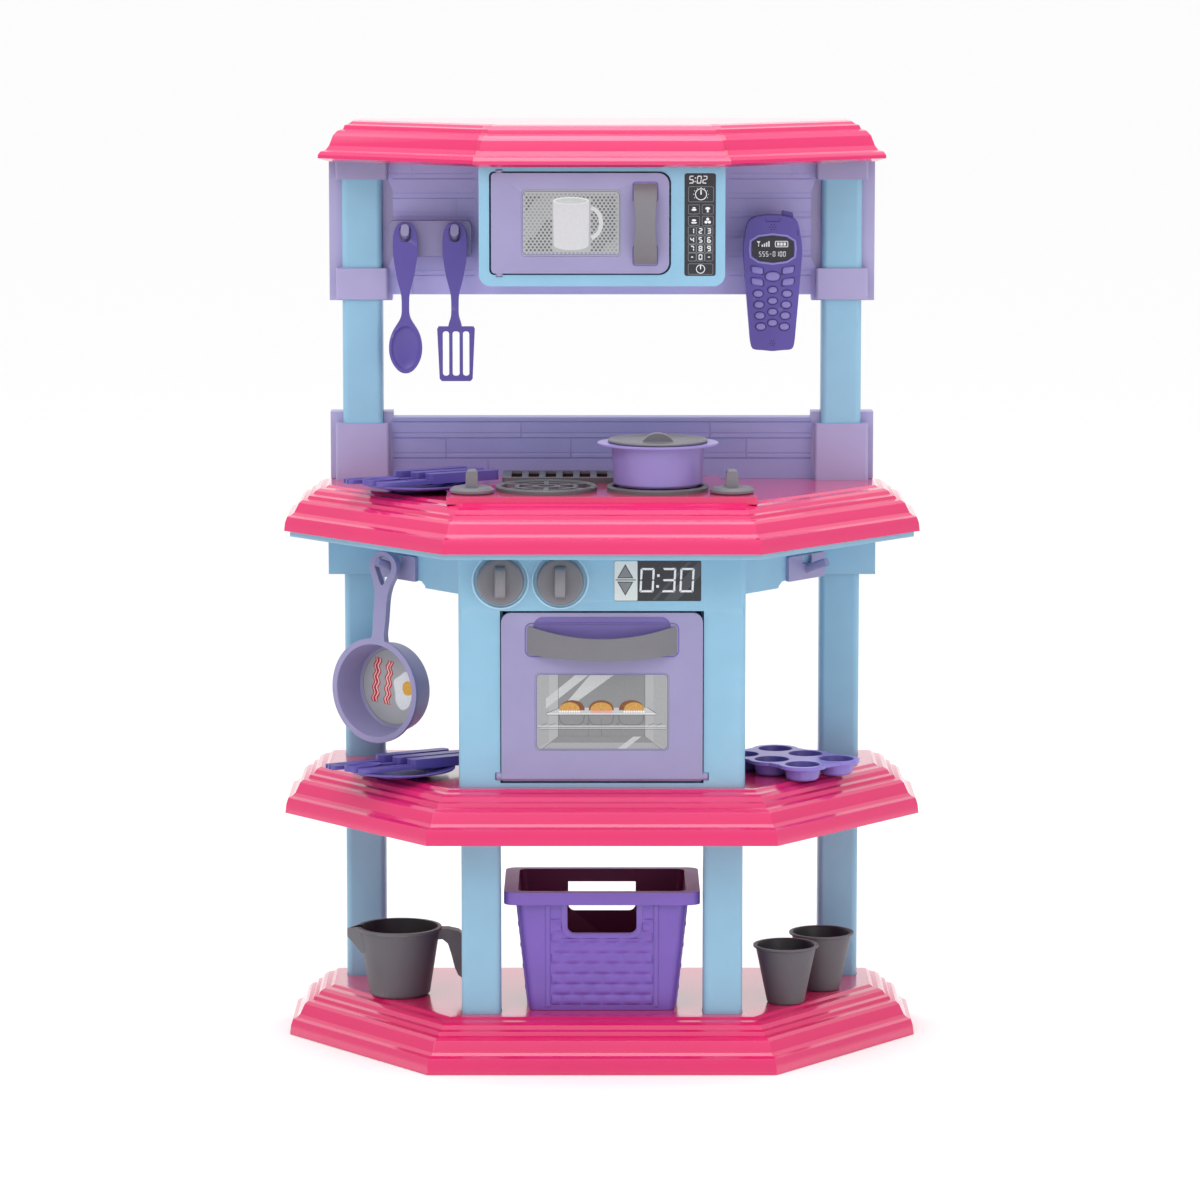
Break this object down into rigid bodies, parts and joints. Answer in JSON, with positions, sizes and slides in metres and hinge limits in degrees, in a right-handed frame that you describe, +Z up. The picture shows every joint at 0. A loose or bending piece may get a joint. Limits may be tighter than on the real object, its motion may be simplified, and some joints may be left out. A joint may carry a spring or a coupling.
{
  "type": "toy kitchen",
  "caption": "Free-standing toy kitchen with stepped shelves, drop-down oven door, side-hinged microwave door, stove top, canopy and loose cookware.",
  "frame": {"origin": "centre of the footprint on the floor", "axes": "+X to the right seen from the front, -Y out of the front, +Z up"},
  "size_m": [0.656, 0.285, 0.947],
  "materials": {
    "pink": "glossy moulded",
    "light_blue": "satin moulded",
    "lavender": "satin moulded",
    "violet": "satin moulded",
    "basket_violet": "satin moulded",
    "grey": "fine matt",
    "dark_grey": "fine matt",
    "sticker_grey": "printed sticker",
    "sticker_black": "printed sticker"
  },
  "bodies": {
    "kitchen": {"base_shelf": "pink", "middle_shelf": "pink", "countertop": "pink", "canopy": "pink", "lower_leg_front_left": "light_blue", "lower_leg_front_right": "light_blue", "lower_leg_rear_left": "light_blue", "lower_leg_rear_right": "light_blue", "upper_leg_left": "light_blue", "upper_leg_right": "light_blue", "post_left": "light_blue", "post_right": "light_blue", "counter_frame": "light_blue", "oven_cabinet": "light_blue", "oven_box": "light_blue", "microwave_cabinet": "light_blue", "backsplash": "lavender", "upper_panel": "lavender", "utensil_rack": "lavender", "pan_hook_left": "lavender", "pan_hook_right": "lavender", "burner_grate_left": "grey", "burner_grate_right": "grey", "vent_grille": "grey", "oven_clock_label": "sticker_black", "microwave_control_label": "sticker_black"},
    "oven_door": {"oven_door": "lavender", "oven_handle": "grey", "oven_window_label": "sticker_grey"},
    "microwave_door": {"microwave_door": "lavender", "microwave_handle": "grey", "microwave_window_label": "sticker_grey"},
    "oven_knob_left": {"oven_knob_left": "grey"},
    "oven_knob_right": {"oven_knob_right": "grey"},
    "stove_knob_left": {"stove_knob_left": "grey"},
    "stove_knob_right": {"stove_knob_right": "grey"},
    "pan": {"pan": "lavender", "pan_food_label": "sticker_grey"},
    "phone": {"phone": "violet", "phone_display_label": "sticker_black"},
    "serving_spoon": {"serving_spoon": "violet"},
    "spatula": {"spatula": "violet"},
    "pot": {"pot": "lavender"},
    "pot_lid": {"pot_lid": "grey"},
    "plate_counter": {"plate_counter": "violet"},
    "spoon_counter": {"spoon_counter": "violet"},
    "knife_counter": {"knife_counter": "violet"},
    "fork_counter": {"fork_counter": "violet"},
    "plate_shelf": {"plate_shelf": "violet"},
    "spoon_shelf": {"spoon_shelf": "violet"},
    "knife_shelf": {"knife_shelf": "violet"},
    "fork_shelf": {"fork_shelf": "violet"},
    "muffin_tin": {"muffin_tin": "violet"},
    "jug": {"jug": "dark_grey"},
    "cup_front": {"cup_front": "dark_grey"},
    "cup_rear": {"cup_rear": "dark_grey"},
    "basket": {"basket": "basket_violet"}
  },
  "joints": [
    {"name": "oven_door_hinge", "type": "hinge", "parent": "kitchen", "child": "oven_door", "pos_m": [0, -0.084, 0.295], "axis": [1, 0, 0], "range_deg": [0, 90]},
    {"name": "microwave_door_hinge", "type": "hinge", "parent": "kitchen", "child": "microwave_door", "pos_m": [-0.1035, -0.0285, 0.8495], "axis": [0, 0, -1], "range_deg": [0, 100]},
    {"name": "oven_knob_left_turn", "type": "hinge", "parent": "kitchen", "child": "oven_knob_left", "pos_m": [-0.102, -0.0885, 0.4945], "axis": [0, 1, 0], "continuous": true},
    {"name": "oven_knob_right_turn", "type": "hinge", "parent": "kitchen", "child": "oven_knob_right", "pos_m": [-0.042, -0.0885, 0.4945], "axis": [0, 1, 0], "continuous": true},
    {"name": "stove_knob_left_turn", "type": "hinge", "parent": "kitchen", "child": "stove_knob_left", "pos_m": [-0.131, -0.0585, 0.58], "axis": [0, 0, 1], "continuous": true},
    {"name": "stove_knob_right_turn", "type": "hinge", "parent": "kitchen", "child": "stove_knob_right", "pos_m": [0.131, -0.0585, 0.58], "axis": [0, 0, 1], "continuous": true},
    {"name": "pot_lift", "type": "slide", "parent": "kitchen", "child": "pot", "axis": [0, 0, 1], "range_m": [0, 0.08]},
    {"name": "pot_lid_lift", "type": "slide", "parent": "pot", "child": "pot_lid", "axis": [0, 0, 1], "range_m": [0, 0.06]},
    {"name": "plate_counter_lift", "type": "slide", "parent": "kitchen", "child": "plate_counter", "axis": [0, 0, 1], "range_m": [0, 0.05]},
    {"name": "spoon_counter_lift", "type": "slide", "parent": "plate_counter", "child": "spoon_counter", "axis": [0, 0, 1], "range_m": [0, 0.04]},
    {"name": "knife_counter_lift", "type": "slide", "parent": "plate_counter", "child": "knife_counter", "axis": [0, 0, 1], "range_m": [0, 0.04]},
    {"name": "fork_counter_lift", "type": "slide", "parent": "plate_counter", "child": "fork_counter", "axis": [0, 0, 1], "range_m": [0, 0.04]},
    {"name": "plate_shelf_slide", "type": "slide", "parent": "kitchen", "child": "plate_shelf", "axis": [-0.6, -0.8, 0], "range_m": [0, 0.1]},
    {"name": "spoon_shelf_pull", "type": "slide", "parent": "plate_shelf", "child": "spoon_shelf", "axis": [-0.866, -0.5, 0], "range_m": [0, 0.06]},
    {"name": "knife_shelf_pull", "type": "slide", "parent": "plate_shelf", "child": "knife_shelf", "axis": [-0.866, -0.5, 0], "range_m": [0, 0.06]},
    {"name": "fork_shelf_pull", "type": "slide", "parent": "plate_shelf", "child": "fork_shelf", "axis": [-0.866, -0.5, 0], "range_m": [0, 0.06]},
    {"name": "muffin_tin_slide", "type": "slide", "parent": "kitchen", "child": "muffin_tin", "axis": [0.6, -0.8, 0], "range_m": [0, 0.1]},
    {"name": "jug_lift", "type": "slide", "parent": "kitchen", "child": "jug", "axis": [0, 0, 1], "range_m": [0, 0.06]},
    {"name": "cup_front_lift", "type": "slide", "parent": "kitchen", "child": "cup_front", "axis": [0, 0, 1], "range_m": [0, 0.08]},
    {"name": "cup_rear_lift", "type": "slide", "parent": "kitchen", "child": "cup_rear", "axis": [0, 0, 1], "range_m": [0, 0.08]},
    {"name": "basket_slide", "type": "slide", "parent": "kitchen", "child": "basket", "axis": [0, -1, 0], "range_m": [0, 0.3]},
    {"name": "serving_spoon_unhook", "type": "slide", "parent": "kitchen", "child": "serving_spoon", "axis": [0, -0.9397, 0.342], "range_m": [0, 0.03]},
    {"name": "spatula_unhook", "type": "slide", "parent": "kitchen", "child": "spatula", "axis": [0, -0.9397, 0.342], "range_m": [0, 0.03]},
    {"name": "phone_unhook", "type": "slide", "parent": "kitchen", "child": "phone", "axis": [0, -0.9397, 0.342], "range_m": [0, 0.03]},
    {"name": "pan_unhook", "type": "slide", "parent": "kitchen", "child": "pan", "axis": [-0.7286, -0.5934, 0.342], "range_m": [0, 0.03]}
  ]
}
